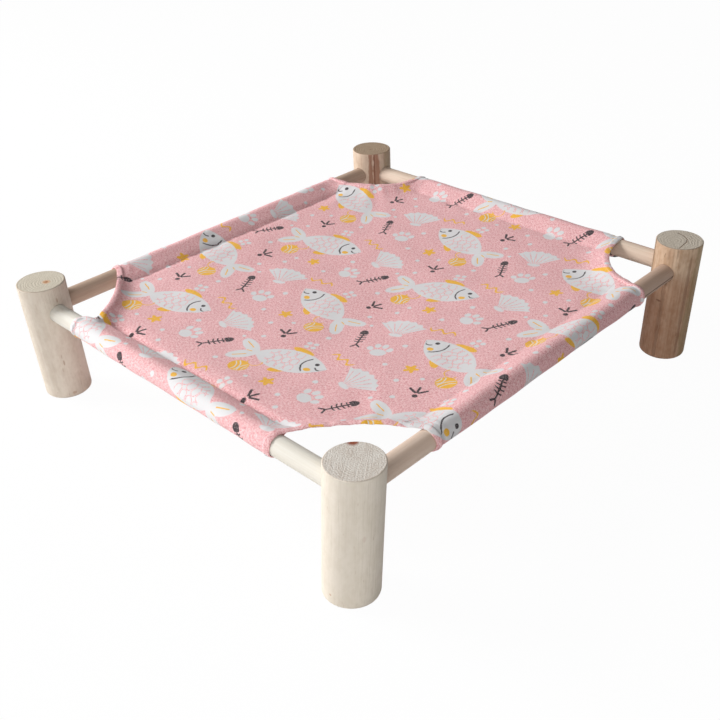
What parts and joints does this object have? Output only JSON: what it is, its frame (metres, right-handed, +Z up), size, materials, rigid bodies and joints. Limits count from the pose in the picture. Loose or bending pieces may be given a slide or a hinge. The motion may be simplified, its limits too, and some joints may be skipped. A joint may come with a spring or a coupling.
{
  "type": "elevated pet bed",
  "caption": "Low raised pet bed: a cloth sling stretched over round wooden rails whose ends sit in blind bores in short log legs.",
  "frame": {"origin": "middle of the footprint, on the floor", "axes": "+Z up, +Y along the longer side from the front to the back, +X to the right seen from the front"},
  "size_m": [0.5148, 0.5618, 0.138],
  "materials": {
    "leg_front_right_wood": "raw peeled log, sawn ends",
    "leg_front_left_wood": "raw peeled log, sawn ends",
    "leg_back_right_wood": "raw peeled log, sawn ends",
    "leg_back_left_wood": "raw peeled log, sawn ends",
    "rail_front_wood": "raw turned dowel, fine sanded",
    "rail_back_wood": "raw turned dowel, fine sanded",
    "rail_left_wood": "raw turned dowel, fine sanded",
    "rail_right_wood": "raw turned dowel, fine sanded",
    "sling_cloth": "printed plain-weave cotton canvas, matt"
  },
  "bodies": {
    "root": {"leg_front_right": "leg_front_right_wood", "leg_front_left": "leg_front_left_wood", "leg_back_right": "leg_back_right_wood", "leg_back_left": "leg_back_left_wood", "rail_front": "rail_front_wood", "rail_back": "rail_back_wood", "rail_left": "rail_left_wood", "rail_right": "rail_right_wood", "sling": "sling_cloth"}
  },
  "joints": []
}
